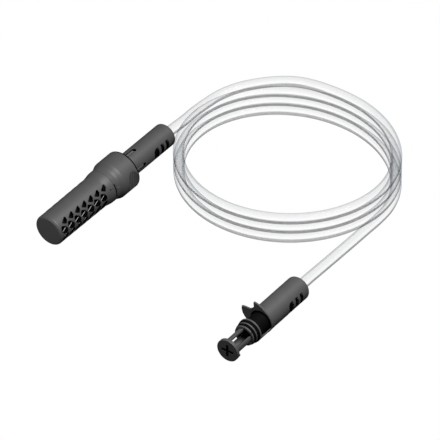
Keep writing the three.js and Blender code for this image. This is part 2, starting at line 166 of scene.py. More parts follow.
def moulded_plastic(name, color, roughness, grain=0.02, mottle=0.06, shine=0.5):
    """Moulded satin plastic: slow changes of tone and gloss, and a fine grain, in millimetres."""
    material, nodes, links, shader = node_tree(name)
    place = nodes.new("ShaderNodeTexCoord")
    slow, fine = noise(nodes, links, place, 90, 3), noise(nodes, links, place, 2600)
    tint = nodes.new("ShaderNodeVectorMath")
    tint.operation = "SCALE"
    tint.inputs[0].default_value = color
    links.new(spread(nodes, links, slow, 1 - mottle, 1 + mottle), tint.inputs["Scale"])
    links.new(tint.outputs["Vector"], shader.inputs["Base Color"])
    gloss = spread(nodes, links, slow, roughness - 0.06, roughness + 0.06)
    links.new(gloss, shader.inputs["Roughness"])
    shader.inputs["Specular IOR Level"].default_value = shine
    bump = nodes.new("ShaderNodeBump")
    bump.inputs["Strength"].default_value = 0.25
    bump.inputs["Distance"].default_value = grain * MM
    links.new(fine, bump.inputs["Height"])
    links.new(bump.outputs["Normal"], shader.inputs["Normal"])
    return material


def spring_wire(name):
    """Drawn steel wire with fine scratches."""
    material, nodes, links, shader = node_tree(name)
    scratches = noise(nodes, links, nodes.new("ShaderNodeTexCoord"), 900)
    links.new(spread(nodes, links, scratches, 0.2, 0.42), shader.inputs["Roughness"])
    shader.inputs["Base Color"].default_value = (0.55, 0.56, 0.58, 1)
    shader.inputs["Metallic"].default_value = 1
    return material


def woven_mesh(name):
    """A fine plastic gauze: crossed threads about half a millimetre apart."""
    material, nodes, links, shader = node_tree(name)
    place = nodes.new("ShaderNodeTexCoord")
    waves = []
    for direction in ("X", "Y"):
        wave = nodes.new("ShaderNodeTexWave")
        wave.bands_direction = direction
        wave.inputs["Scale"].default_value = 640
        links.new(place.outputs["UV"], wave.inputs["Vector"])
        waves.append(wave)
    weave = nodes.new("ShaderNodeMath")
    weave.operation = "MAXIMUM"
    for k, wave in enumerate(waves):
        links.new(wave.outputs["Fac"], weave.inputs[k])
    tone = spread(nodes, links, weave.outputs["Value"], 0.004, 0.02)
    links.new(tone, shader.inputs["Base Color"])
    bump = nodes.new("ShaderNodeBump")
    bump.inputs["Distance"].default_value = 0.1 * MM
    links.new(weave.outputs["Value"], bump.inputs["Height"])
    links.new(bump.outputs["Normal"], shader.inputs["Normal"])
    shader.inputs["Roughness"].default_value = 0.8
    shader.inputs["Specular IOR Level"].default_value = 0.1
    return material


def ramp(nodes, stops):
    """A colour ramp of (position, value) pairs, whose greys lean a little towards blue."""
    node = nodes.new("ShaderNodeValToRGB")
    elements = node.color_ramp.elements
    while len(elements) < len(stops):
        elements.new(1)
    for element, (position, value) in zip(elements, stops):
        element.position = position
        element.color = (value ** 1.12, value ** 1.06, value, 1)
    return node


def clear_pvc(name, painted_light_and_shade_by_height, painted_layer_strength_by_height, tint_by_turn):
    """Clear soft PVC, as a haze over a clear rest.

    The haze is on the hose's front and stands for what a real hose refracts. Its grey is painted
    light and shade by how far up a face looks: painted shade on the lower band, a painted highlight
    across the middle and painted shade towards the top. Its strength follows the same height. The
    clear rest darkens where the surface turns away.
    """
    material, nodes, links, shader = node_tree(name)
    cloud = noise(nodes, links, nodes.new("ShaderNodeTexCoord"), 60)
    links.new(spread(nodes, links, cloud, 0.06, 0.14), shader.inputs["Roughness"])

    # Painted light and shade: the haze's grey and strength follow how far up the normal points, not
    # the lamps.
    surface, upward = nodes.new("ShaderNodeNewGeometry"), nodes.new("ShaderNodeSeparateXYZ")
    grey, strength = ramp(nodes, painted_light_and_shade_by_height), ramp(nodes, painted_layer_strength_by_height)
    links.new(surface.outputs["Normal"], upward.inputs["Vector"])
    for curve in (grey, strength):
        links.new(upward.outputs["Z"], curve.inputs["Fac"])
    links.new(grey.outputs["Color"], shader.inputs["Base Color"])

    turned_away = nodes.new("ShaderNodeLayerWeight")
    turned_away.inputs["Blend"].default_value = 0.5
    tint = ramp(nodes, tint_by_turn)
    front, shown = nodes.new("ShaderNodeMath"), nodes.new("ShaderNodeMath")
    front.operation, shown.operation = "SUBTRACT", "MULTIPLY"
    front.inputs[0].default_value = 1
    links.new(turned_away.outputs["Facing"], tint.inputs["Fac"])
    links.new(surface.outputs["Backfacing"], front.inputs[1])
    links.new(strength.outputs["Color"], shown.inputs[0])
    links.new(front.outputs["Value"], shown.inputs[1])

    clear, body = nodes.new("ShaderNodeBsdfTransparent"), nodes.new("ShaderNodeMixShader")
    links.new(tint.outputs["Color"], clear.inputs["Color"])
    links.new(shown.outputs["Value"], body.inputs["Fac"])
    links.new(clear.outputs["BSDF"], body.inputs[1])
    links.new(shader.outputs["BSDF"], body.inputs[2])
    links.new(body.outputs["Shader"], nodes["Material Output"].inputs["Surface"])
    return material


CHARCOAL = moulded_plastic("charcoal_plastic", (0.082, 0.082, 0.083), 0.5)
INNER_PLASTIC = moulded_plastic("inner_plastic", (0.12, 0.12, 0.122), 0.5)
# Pale plastic serves only as a painted highlight on the basket's slats.
PAINTED_HIGHLIGHT_PLASTIC = moulded_plastic("painted_highlight_plastic", (0.42, 0.42, 0.425), 0.5)
# Black rubber for the seals. The same material is also painted shade on the faces blacked below.
RUBBER_AND_PAINTED_SHADE = moulded_plastic(
    "seal_rubber", (0.003, 0.003, 0.003), 0.7, grain=0.01, mottle=0.15, shine=0.06,
)
STEEL = spring_wire("spring_steel")
GAUZE = woven_mesh("strainer_mesh")
# The hose's grey by height is painted: shade low down, a highlight across the middle, shade on top.
PVC = clear_pvc(
    "clear_hose",
    painted_light_and_shade_by_height=((0, 0.1), (0.2, 0.12), (0.3, 0.95), (0.6, 0.5), (0.8, 0.2), (1, 0.2)),
    painted_layer_strength_by_height=((0, 0.54), (0.16, 0.52), (0.3, 0.05), (0.5, 0.05), (0.8, 0.14), (1, 0.18)),
    tint_by_turn=((0, 0.995), (0.42, 0.99), (0.52, 0.93), (0.68, 0.8), (1, 0.6)),
)
PVC_BORE = clear_pvc(
    "clear_hose_bore",
    painted_light_and_shade_by_height=((0, 0.3), (1, 0.9)),
    painted_layer_strength_by_height=((0, 0), (1, 0)),
    tint_by_turn=((0, 1), (0.6, 0.985), (0.78, 0.92), (1, 0.82)),
)


# ------------------------------------------------------------------ the hose
# Radii, and the length of a step along the hose, in millimetres.
HOSE = {"radius": 6.0, "bore": 4.5, "sides": 28, "step": 3.0}
# A point at turn angle t is centre + back * cos t + side * sin t. Turns are in degrees, clockwise.
# last_step is where the hose starts its last step down, and step_turn is how long a step takes.
COIL = {
    "centre": (5.5, 4.3), "back": (9.3, 125.5), "side": (114.5, -2.2), "pitch": 12.2,
    "from": 90, "to": 1260, "last_step": 900, "step_turn": 140,
}
LAYOUT = (159.508, -12.954)  # the hose is laid out in millimetres, and then moved by this


def strand_height(turn):
    """Each strand lies on the one below, and steps down by one pitch once a turn."""
    above = max(0, math.ceil((COIL["last_step"] - turn) / 360))
    step = smooth((turn - COIL["last_step"] + 360 * above) / COIL["step_turn"])
    return HOSE["radius"] + COIL["pitch"] * (above + 1 - step)


def coil_point(turn):
    c, s = math.cos(rad(turn)), math.sin(rad(turn))
    x, y = (COIL["centre"][k] + COIL["back"][k] * c + COIL["side"][k] * s for k in range(2))
    return Vector((x, y, strand_height(turn)))


def hose_end(fitting, s):
    """A point on a fitting's axis, in the layout's millimetres."""
    point = fitting @ Vector((s * MM, 0, 0)) / MM
    return point - Vector((*LAYOUT, 0))


def hose_route():
    """From inside the outlet sleeve, over the second strand, round the coil and to the coupling."""
    outlet = [
        (-14, 139.7, 26.6), (4, 140.1, 25.4), (21, 140.6, 25), (40, 139, 25.4),
        (60, 135, 26.9), (79.5, 124.6, 29.6), (95.5, 108.4, 33), (107.7, 89.1, 36.8),
        (115.5, 67.9, 40.4), (119, 45.9, 42.3), (120.5, 24, 42.6),
    ]
    coupling = [
        (-30, -121.1, 6.3), (-60, -121.7, 7.6), (-90, -122.8, 9.9), (-120, -124.2, 12.7),
        (-140, -125, 14.4),
    ]
    route = [hose_end(STRAINER, OUTLET_END - inside) for inside in (20, 10, -0.3)]
    route += [Vector(p) for p in outlet]
    route += [coil_point(turn) for turn in range(COIL["from"], COIL["to"] + 1, 10)]
    route += [Vector(p) for p in coupling]
    route += [hose_end(COUPLING, COUPLING_END - inside) for inside in (-0.3, 9.5, 19.5)]
    return [p + Vector((*LAYOUT, 0)) for p in route]


def even_line(points, step):
    """A centripetal Catmull-Rom curve through the points, in even steps, and its length."""
    dense = []
    padded = [2 * points[0] - points[1], *points, 2 * points[-1] - points[-2]]
    for a, b, c, d in zip(padded, padded[1:], padded[2:], padded[3:]):
        knots = [0.0]
        for p, q in ((a, b), (b, c), (c, d)):
            knots.append(knots[-1] + math.sqrt((q - p).length))
        t0, t1, t2, t3 = knots
        for k in range(12):
            t = t1 + (t2 - t1) * k / 12
            ab = a.lerp(b, (t - t0) / (t1 - t0))
            bc = b.lerp(c, (t - t1) / (t2 - t1))
            cd = c.lerp(d, (t - t2) / (t3 - t2))
            first = ab.lerp(bc, (t - t0) / (t2 - t0))
            second = bc.lerp(cd, (t - t1) / (t3 - t1))
            dense.append(first.lerp(second, (t - t1) / (t2 - t1)))
    dense.append(points[-1])
    along = [0.0]
    for p, q in zip(dense, dense[1:]):
        along.append(along[-1] + (q - p).length)
    count = round(along[-1] / step)
    line, at = [], 0
    for k in range(count + 1):
        want = along[-1] * k / count
        while at < len(along) - 2 and along[at + 1] < want:
            at += 1
        share = (want - along[at]) / (along[at + 1] - along[at])
        line.append(dense[at].lerp(dense[at + 1], share))
    return line, along[-1]


def make_hose():
    """The hose as one tube with a real wall, open at both ends."""
    line, length = even_line(hose_route(), HOSE["step"])
    sides, mesh = HOSE["sides"], bmesh.new()
    rings = {HOSE["radius"]: [], HOSE["bore"]: []}
    angles = [2 * math.pi * j / sides for j in range(sides)]
    for k, centre in enumerate(line):
        run = (line[min(k + 1, len(line) - 1)] - line[max(k - 1, 0)]).normalized()
        across = run.cross(UP).normalized()
        above = across.cross(run)
        spokes = [across * math.cos(a) + above * math.sin(a) for a in angles]
        for radius, made in rings.items():
            made.append([mesh.verts.new((centre + spoke * radius) * MM) for spoke in spokes])
    outer, inner = rings.values()
    for made, flip in ((outer, False), (inner, True)):
        for a, b in zip(made, made[1:]):
            for j in range(sides):
                quad = [a[j], a[j - 1], b[j - 1], b[j]]
                mesh.faces.new(quad[::-1] if flip else quad).material_index = int(flip)
    for k, flip in ((0, True), (-1, False)):
        for j in range(sides):
            quad = [outer[k][j], outer[k][j - 1], inner[k][j - 1], inner[k][j]]
            mesh.faces.new(quad[::-1] if flip else quad)
    bmesh.ops.recalc_face_normals(mesh, faces=mesh.faces)
    data = bpy.data.meshes.new("clear_hose")
    mesh.to_mesh(data)
    mesh.free()
    data.shade_smooth()
    data.set_sharp_from_angle(angle=rad(50))
    data.materials.append(PVC)
    data.materials.append(PVC_BORE)
    hose = bpy.data.objects.new("clear_hose", data)
    bpy.context.scene.collection.objects.link(hose)
    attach(hose, "root")
    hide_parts("hose_coil", "hose_lead_outlet", "hose_lead_coupling")


make_hose()


# ------------------------------------------------------------------ shape helpers
def rounded(corners, steps=4):
    """A closed outline whose corners, given as (x, y) or (x, y, radius), are turned into arcs."""
    points, count = [], len(corners)
    for k in range(count):
        here = Vector(corners[k][:2])
        radius = corners[k][2] if len(corners[k]) > 2 else 0
        before = Vector(corners[k - 1][:2]) - here
        after = Vector(corners[(k + 1) % count][:2]) - here
        turn = math.pi - before.angle(after)
        if radius <= 0 or turn < 0.02:
            points.append(here)
            continue
        cut = min(radius * math.tan(turn / 2), 0.48 * before.length, 0.48 * after.length)
        radius = cut / math.tan(turn / 2)
        before.normalize()
        after.normalize()
        start, end = here + before * cut, here + after * cut
        centre = here + (before + after).normalized() * math.hypot(radius, cut)
        sweep = -(start - centre).angle_signed(end - centre)
        for j in range(steps + 1):
            points.append(centre + Matrix.Rotation(sweep * j / steps, 2) @ (start - centre))
    return points


def soft_corners(corners, radius):
    """The same radius on every corner that has none of its own."""
    return [corner if len(corner) > 2 else (*corner, radius) for corner in corners]


def grown(outline, by):
    """A closed outline, moved outwards by a distance."""
    area = sum(a.x * b.y - b.x * a.y for a, b in zip(outline, outline[1:] + outline[:1]))
    side = 1 if area > 0 else -1
    out = []
    for k, here in enumerate(outline):
        run = (outline[(k + 1) % len(outline)] - outline[k - 1]).normalized()
        out.append(here + Vector((run.y, -run.x)) * by * side)
    return out


class Body:
    """A mesh under way, in a fitting's own millimetres. Each call adds a closed shell to it."""

    def __init__(self):
        self.mesh = bmesh.new()

    def rows(self, rows, wrap, caps):
        """Quads between rows of points. A row of one point is a pole."""
        made = [[self.mesh.verts.new(p) for p in row] for row in rows]
        pairs = list(zip(made, made[1:])) + ([(made[-1], made[0])] if wrap else [])
        for a, b in pairs:
            for j in range(max(len(a), len(b))):
                corners = [a[j % len(a)], a[j - 1] if len(a) > 1 else a[0],
                           b[j - 1] if len(b) > 1 else b[0], b[j % len(b)]]
                corners = [v for k, v in enumerate(corners) if v not in corners[:k]]
                if len(corners) > 2:
                    self.mesh.faces.new(corners)
        if caps:
            self.mesh.faces.new(made[0])
            self.mesh.faces.new(made[-1][::-1])
        return self

    def turned(self, outline, sides=ROUND, corner=0.25, steps=3):
        """A solid of revolution. The outline's points are (s, radius), and it closes on itself."""
        points = rounded(soft_corners(outline, corner), steps)
        on_axis = [p.y < 1e-6 for p in points]
        while any(on_axis) and not (on_axis[0] and on_axis[-1]):
            points, on_axis = points[1:] + points[:1], on_axis[1:] + on_axis[:1]
        angles = [2 * math.pi * j / sides for j in range(sides)]
        rows = []
        for p, pole in zip(points, on_axis):
            round_here = [(p.x, p.y * math.sin(a), p.y * math.cos(a)) for a in angles]
            rows.append([(p.x, 0, 0)] if pole else round_here)
        return self.rows(rows, wrap=not any(on_axis), caps=False)

    def along(self, outline, s0, s1, edge=0.25):
        """An outline in the y-z plane, pushed along s, with its end edges eased."""
        levels = [(s0, 0), (s1, 0)]
        if edge:
            levels = [(s0, -edge), (s0 + edge, 0), (s1 - edge, 0), (s1, -edge)]
        rows = [[(s, p.x, p.y) for p in grown(outline, by)] for s, by in levels]
        return self.rows(rows, wrap=False, caps=True)

    def tube(self, line, radius, sides=10):
        """A round wire along a line."""
        rows = []
        for k, centre in enumerate(line):
            run = (line[min(k + 1, len(line) - 1)] - line[max(k - 1, 0)]).normalized()
            across = run.cross(centre - Vector((centre.x, 0, 0))).normalized()
            above = across.cross(run)
            rows.append([centre + (across * math.cos(a) + above * math.sin(a)) * radius
                         for a in (2 * math.pi * j / sides for j in range(sides))])
        return self.rows(rows, wrap=False, caps=True)

    def finished(self):
        """The mesh in metres, its faces pointing outwards."""
        bmesh.ops.recalc_face_normals(self.mesh, faces=self.mesh.faces)
        bmesh.ops.scale(self.mesh, vec=(MM, MM, MM), verts=self.mesh.verts)
        data = bpy.data.meshes.new("shape")
        self.mesh.to_mesh(data)
        self.mesh.free()
        return data


def carved(data, *tools):
    """A mesh with others cut out of it, or joined to it, given as (operation, mesh)."""
    scene = bpy.context.scene.collection
    body = bpy.data.objects.new("carving", data)
    scene.objects.link(body)
    helpers = []
    for operation, tool in tools:
        helper = bpy.data.objects.new("tool", tool)
        scene.objects.link(helper)
        helpers.append(helper)
        modifier = body.modifiers.new("cut", "BOOLEAN")
        modifier.operation, modifier.object, modifier.solver = operation, helper, "MANIFOLD"
    bpy.context.view_layer.update()
    depsgraph = bpy.context.evaluated_depsgraph_get()
    out = bpy.data.meshes.new_from_object(body.evaluated_get(depsgraph))
    for used in (body, *helpers):
        old = used.data
        bpy.data.objects.remove(used)
        bpy.data.meshes.remove(old)
    return out


def piece(node, data, fitting, material):
    """Puts a finished mesh in the place of a CAD node, under that node's own body."""
    data.name = node
    data.materials.clear()
    data.materials.append(material)
    data.shade_smooth()
    data.set_sharp_from_angle(angle=rad(32))
    body = bpy.data.objects.new("fine_" + node, data)
    body.matrix_world = fitting
    bpy.context.scene.collection.objects.link(body)
    normals = body.modifiers.new("normals", "WEIGHTED_NORMAL")
    normals.keep_sharp = True
    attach(body, body_of(frame["nodes"][node])[0])
    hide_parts(node)
    return body


def polar(points):
    """(angle from up, radius) as y-z points."""
    return [(r * math.sin(rad(a)), r * math.cos(rad(a))) for a, r in points]


def arc_box(r0, r1, centre, width, corner=0.4):
    """The outline of part of a ring, in the y-z plane."""
    steps = max(2, round(width / 4))
    angles = [centre - width / 2 + width * k / steps for k in range(steps + 1)]
    outline = []
    for radius, order in ((r1, angles), (r0, angles[::-1])):
        for k, p in enumerate(polar([(a, radius) for a in order])):
            outline.append((*p, corner if k in (0, steps) else 0))
    return rounded(outline)


def radial_box(r0, r1, half, angle, corner=0.25):
    """The outline of a box that stands on the axis at an angle, in the y-z plane."""
    turn = Matrix.Rotation(-rad(angle), 2)
    corners = [(-half, r0), (half, r0), (half, r1), (-half, r1)]
    return rounded([(*(turn @ Vector(c)), corner) for c in corners], 3)


def o_ring(s, radius, cord, steps=20):
    """The outline of an O-ring to be turned: cord is the radius of its section."""
    return [(s + cord * math.cos(a), radius + cord * math.sin(a), 0)
            for a in (2 * math.pi * k / steps for k in range(steps))]


# ------------------------------------------------------------------ grip sleeves
# Three finger grooves on each side of a sleeve, told by how far they are from its hose end. Half a
# groove's width, the radius of its floor, and the radii at which the cutter fades out and ends.
# Middle and width are degrees round the sleeve.
GRIP = {
    "grooves": (15, 23.5, 32), "half": 1.6, "floor": 11.8, "fade": 14.3, "top": 15.5,
    "middle": 97, "width": 84,
}
# A groove's edge, from outside in: millimetres past the edge, degrees wider, and the share of the
# depth that isn't cut. The last groove starts as a wide scoop.
GROOVE_EDGE = ((-0.9, 0, 0.9), (-0.2, -6, 0.3), (0.4, -8, 0))
SCOOP_EDGE = (
    (-4.6, -34, 0.95), (-3.6, -22, 0.7), (-2, -13, 0.45), (-0.6, -9, 0.2), (0.4, -8, 0),
)


def grip_grooves(end):
    """The cutters of the finger grooves on both sides, near a sleeve's hose end."""
    tool = Body()
    for middle in (-GRIP["middle"], GRIP["middle"]):
        for from_end in GRIP["grooves"]:
            s0, s1 = end - from_end - GRIP["half"], end - from_end + GRIP["half"]
            first = SCOOP_EDGE if from_end == GRIP["grooves"][-1] else GROOVE_EDGE
            levels = [(s0 + past, wider, lift) for past, wider, lift in first]
            levels += [(s1 - past, wider, lift) for past, wider, lift in reversed(GROOVE_EDGE)]
            rows = []
            for s, wider, lift in levels:
                rows.append([(s, p.x, p.y) for p in groove_arc(middle, wider, lift)])
            tool.rows(rows, wrap=False, caps=True)
    return tool.finished()


def groove_arc(middle, wider, lift, steps=22):
    """One cross-section of a groove's cutter: part of a ring whose floor fades out at its ends."""
    width = GRIP["width"] + wider
    angles = [middle - width / 2 + width * k / steps for k in range(steps + 1)]
    floor = []
    for k, angle in enumerate(angles):
        share = min(1, 6 * k / steps, 6 * (steps - k) / steps)
        depth = (GRIP["fade"] - GRIP["floor"]) * smooth(share) * (1 - lift)
        floor.append((angle, GRIP["fade"] - depth))
    return [Vector(p) for p in polar([(a, GRIP["top"]) for a in angles] + floor[::-1])]


def sleeve_end(end, radius=14.0):
    """The rounded hose end of a grip sleeve, as outline points from the bore outwards."""
    return [(end, 6.5, 0.5), (end, radius, 3.2)]


# ------------------------------------------------------------------ intake strainer
# The rows of windows above the cage's middle, which mirror those below. An outline's points are
# (s, arc), arc growing from the top down.
WINDOW_ROWS = (
    {
        "from": 12.0, "angle": 46.5, "wider": 0.45,
        "outline": [(3.7, -3.5), (3.9, 0.4), (1.3, 3.6), (-3.8, 0.6)],
    },
    {
        "from": 7.3, "angle": 73.5, "wider": 0.85,
        "outline": [
            (-4, -0.6), (-1.9, -4.9), (1.9, -2.9), (4.4, 0.9), (4, 4.3), (2.2, 4.5), (-1.2, 3.3),
        ],
    },
)
# The cutters reach from a radius inside the wall to some millimetres over the cage's surface.
WINDOWS = {
    "count": 7, "pitch": 10.95, "corner": 0.55, "chamfer": 0.2, "from_radius": 14.8, "over": 3,
}
# A slat crosses a window's middle at from + n * pitch, and leans by so many millimetres a degree.
SLATS = {
    "count": WINDOWS["count"] + 3, "from": 7.6, "pitch": WINDOWS["pitch"], "lean": 0.72,
    "middle": 75, "angles": (57, 123), "reach": (5, 80), "radius": 16.2, "wire": 0.33,
}


def cage_radius(s):
    """The outside of the cage, which widens a little towards its skirt."""
    return 18.1 + 0.5 * (s - 3) / 76.5


def window_tools():
    """Tapered cutters for all windows, whose rims widen at the outer surface."""
    tool = Body()
    for row in WINDOW_ROWS:
        outline = grown(rounded([(*p, WINDOWS["corner"]) for p in row["outline"]], 3), row["wider"])
        for k in range(WINDOWS["count"]):
            s = row["from"] + WINDOWS["pitch"] * k
            outer, ease = cage_radius(s), WINDOWS["chamfer"]
            levels = [
                (WINDOWS["from_radius"], -0.1), (outer - ease, 0), (outer + 2 * ease, 3 * ease),
                (outer + WINDOWS["over"], 3 * ease),
            ]
            for side, half in ((-1, 1), (-1, -1), (1, 1), (1, -1)):
                rows = []
                for radius, by in levels:
                    loop = window_loop(grown(outline, by), s, row["angle"], radius, outer)
                    rows.append([(along, side * y, half * z) for along, y, z in loop])
                tool.rows(rows, wrap=False, caps=True)
    return tool.finished()


def window_loop(outline, s, angle, radius, outer):
    """A window's outline wrapped round the cage at a radius."""
    loop = []
    for p in outline:
        a = rad(angle) + p.y / outer
        loop.append((s + p.x, radius * math.sin(a), radius * math.cos(a)))
    return loop


def strainer_cage():
    shell = Body().turned([
        (0, 0), (0, 18.1, 3), (79.5, 18.6, 0), (82.5, 19.0, 0), (88, 20.0, 0), (91, 20.2, 0.15),
        (91, 17), (79, 17), (78.4, 17.3), (4, 17, 1), (2.2, 14.6, 1), (2.2, 0),
    ], steps=6)
    data = carved(shell.finished(), ("DIFFERENCE", window_tools()))
    marks = Body()
    for angle in (0, 180):
        marks.along(arc_box(16.3, 17.4, angle, 14), 87.2, 89.6)
    marks.along(radial_box(18.4, 20.9, 0.6, -62), 84.5, 89.8)
    return joined(data, marks.finished())


def joined(*parts):
    """Several meshes as one."""
    mesh = bmesh.new()
    for part in parts:
        mesh.from_mesh(part)
        bpy.data.meshes.remove(part)
    data = bpy.data.meshes.new("joined")
    mesh.to_mesh(data)
    mesh.free()
    return data


def strainer_basket():
    """A frame of rings and edge bars, with slanted slats, and how many faces the frame has."""
    body = Body()
    for s in (18.8, 40.7, 62.6):
        body.turned([(s, 13.4), (s + 1.6, 13.4), (s + 1.6, 15.6), (s, 15.6)], corner=0.35)
    body.turned([(4.3, 13.4), (5.9, 13.4), (5.9, 15.6), (4.3, 15.6)])
    body.turned([(79.5, 13.4), (81.6, 13.4), (81.6, 15.8), (79.5, 15.8)])
    for angle in (56, 124, -56, -124):
        body.along(radial_box(13.4, 15.6, 0.6, angle), 5, 81)
    frame_faces = len(body.mesh.faces)
    for k in range(SLATS["count"]):
        for side in (-1, 1):
            line = slat_line(SLATS["from"] + SLATS["pitch"] * k, side)
            if len(line) > 3:
                body.tube(line, SLATS["wire"])
    return body.finished(), frame_faces


def slat_line(middle_s, side):
    """The middle of a slat on one side, as far as the basket reaches."""
    line, (first, last) = [], SLATS["angles"]
    for angle in range(first, last + 1):
        s = middle_s - SLATS["lean"] * (angle - SLATS["middle"])
        if SLATS["reach"][0] < s < SLATS["reach"][1]:
            y, z = (SLATS["radius"] * f(rad(angle)) for f in (math.sin, math.cos))
            line.append(Vector((s, side * y, z)))
    return line


def strainer_head():
    flare = []
    for k in range(13):
        t = k / 12
        flare.append((97 + 9 * t, 20.2 + 2.8 * smooth(t), 0))
    shell = Body().turned([
        (82, 13.4), (82, 16.7, 0.4), (91.2, 16.7), (91.2, 17.4), (93, 17.4), (93, 19.5),
        (91.2, 19.5), (91.2, 20.2, 0.15), *flare, (126.5, 23, 0), (128.5, 23, 0.9),
        (128.5, 14.5, 0.4), (119.8, 14.5), (119.8, 13.4), (95.5, 13.4), (95.5, 10.5), (93, 10.5),
        (93, 13.4),
    ], steps=4)
    # Finger scoops on both sides, then the bayonet tracks and the groove along the seam.
    tool = Body()
    sides, radius = 160, 11
    for side in (-1, 1):
        outline = [
            (118.5 + radius * math.cos(a), side * 30.6 + radius * math.sin(a))
            for a in (2 * math.pi * k / sides for k in range(sides))
        ]
        tool.rows([[(s, y, z) for s, y in outline] for z in (-30, 30)], wrap=False, caps=True)
    for angle in (0, 180):
        tool.along(arc_box(15.8, 18, angle - 19, 56, 0), 86.8, 90, 0)
        tool.along(arc_box(19.4, 22, angle - 92, 72, 0), 90.9, 92.7, 0)
    data = carved(shell.finished(), ("DIFFERENCE", tool.finished()))
    marks = Body()
    turn = Matrix.Rotation(rad(62), 3, "X")
    pointer = rounded([(94.1, -2, 0.3), (98.9, 0, 0.3), (94.1, 2, 0.3)], 3)
    rows = [
        [turn @ Vector((p.x, p.y, z)) for p in grown(pointer, by)]
        for z, by in ((19.3, 0), (20.5, 0), (20.75, -0.25))
    ]
    marks.rows(rows, wrap=False, caps=True)
    marks.along(radial_box(19.5, 20.7, 0.5, -76), 93.5, 99)
    return joined(data, marks.finished())


def outlet_spigot():
    body = Body().turned([
        (112, 4), (112, 13.1), (113.2, 13.1), (113.2, 11.6), (116, 11.6), (116, 13.1),
        (117.2, 13.1), (117.2, 10.2), (151, 10.2), (152, 9.2), (152, 4.6),
        *[(153 + 11 * k + d, r) for k in range(3) for d, r in ((0, 4.35), (10.6, 3.9))],
        (186, 3.6), (186, 3), (151, 3), (149, 4),
    ], corner=0.2)
    for angle in (0, 90, 180, 270):
        body.along(radial_box(9.6, 13.7, 1.35, angle), 120.2, 146.6)
    return body.finished()


def outlet_sleeve():
    shell = Body().turned([
        (122.5, 11.2), (158, 11.2), (160, 9), (196, 9), (198, 6.5), *sleeve_end(OUTLET_END),
        (122.5, 14, 0.4),
    ], steps=6)
    slots = Body()
    outline = rounded([(120, -2.5, 0), (150.5, -2.5, 2.5), (150.5, 2.5, 2.5), (120, 2.5, 0)], 8)
    for angle in (0, 90, 180, 270):
        turn = Matrix.Rotation(-rad(angle), 3, "X")
        rows = [
            [turn @ Vector((p.x, p.y, z)) for p in grown(outline, by)]
            for z, by in ((10, 0), (13.7, 0), (14.6, 0.9))
        ]
        slots.rows(rows, wrap=False, caps=True)
    return carved(
        shell.finished(),
        ("DIFFERENCE", slots.finished()),
        ("DIFFERENCE", grip_grooves(OUTLET_END)),
    )


# ------------------------------------------------------------------ valve coupling
# The edge of the plate at the sleeve's mouth, as (angle, radius): two claws, a foot and a low rim.
MOUTH_PLATE = (
    (-35, 15), (-25, 15.3), (-14, 16.3), (-4, 17.8), (6, 19.6), (15, 21.4), (23.5, 23),
    (27, 20.5), (30, 17.8), (36, 16.6), (46, 16.4), (54, 17), (60, 20), (65, 23.4), (69, 26),
    (77, 25.2), (87, 23.4), (97, 21.2), (107, 18.9), (117, 17), (128, 15.5), (140, 15),
    (155, 15), (168, 15), (180, 15), (192, 15), (205, 15), (225, 14.4), (240, 14.3),
    (255, 14.3), (270, 14.3), (285, 14.3), (300, 14.4), (313, 14.7),
)
CLAW_TIPS = (23.5, 69)


def coupling_sleeve():
    shell = Body().turned([
        (63.5, 12.9), (63.5, 11.4), (67, 11.4), (67, 12.6), (90, 12.6), (93, 9), (121, 9),
        (123, 6.5), *sleeve_end(COUPLING_END), (59.5, 14, 0.2), (59.5, 12.9, 0.3),
    ], steps=6)
    outline = [
        (*p, 0.4 if angle in CLAW_TIPS else 0)
        for (angle, _), p in zip(MOUTH_PLATE, polar(MOUTH_PLATE))
    ]
    plate = Body().along(rounded(outline), 59.5, 61.7, 0.3)
    bore = Body().turned([(58, 0), (63, 0), (63, 13.2), (58, 13.2)], corner=0)
    cradle = Body().along(arc_box(12.9, 13.98, 180, 150), 43, 60.5, 0.3)
    return carved(
        shell.finished(),
        ("UNION", carved(plate.finished(), ("DIFFERENCE", bore.finished()))),
        ("UNION", cradle.finished()),
        ("DIFFERENCE", grip_grooves(COUPLING_END)),
    )


def coupling_plug():
    shell = Body().turned([
        (29.5, 9.5), (29.5, 11.7, 0.4), (31.5, 11.7), (31.5, 10.3), (34.4, 10.3),
        (34.4, 12.7, 0.3), (36.3, 12.7, 0.3), (36.3, 11), (39.4, 11), (39.4, 14.1, 0.4),
        (41.5, 14.1, 0.4), (42.1, 11, 0.3), (68, 11), (68, 10.3), (69.6, 10.3), (69.6, 11),
        (79, 11), (79, 9.5), (59, 9.5), (59, 5.5), (56, 5.5), (54, 9.5),
    ], corner=0.2, steps=4)
    slit = Body().along(radial_box(9, 13, 0.5, -50, 0.05), 28.5, 32, 0)
    return carved(shell.finished(), ("DIFFERENCE", slit.finished()))


def paint_shade_black(body, where):
    """A second, black material on the faces whose middle, as s and radius, is where it says:
    painted shade.
    """
    body.data.materials.append(RUBBER_AND_PAINTED_SHADE)
    for face in body.data.polygons:
        s, y, z = face.center / MM
        if where(s, math.hypot(y, z)):
            face.material_index = 1


def painted_shade_in_windows(s, r):
    """The inside of the cage and its windows' reveals, painted black as shade."""
    return 4 < s < 83 and 10 < r < cage_radius(s) - 0.45


def painted_shade_on_neck(s, r):
    """The plug's neck behind its flange, and the grooves of its two seals, painted black as the
    shade inside the sleeve's mouth.
    """
    return 41.8 < s < 67 and r > 9.8 or 31.3 < s < 39.6 and r < 12.2 or 38 < s < 39.5 and r < 13.6


def painted_shade_at_collar_end(s, r):
    """The collar's end face and its eased edge, painted black as a line of shade."""
    return s > 126.5 and r > 14.6


def painted_shade_in_sleeve(s, r):
    """The bore of a grip sleeve, its slots and the floors of its finger grooves, painted black as
    shade.
    """
    return s > 62.5 and r < 13.5


def painted_shade_in_cross(s, r):
    """The floor and walls of the button's cross recess, painted black as shade."""
    return 0.15 < s < 1.3 and r < 8.4


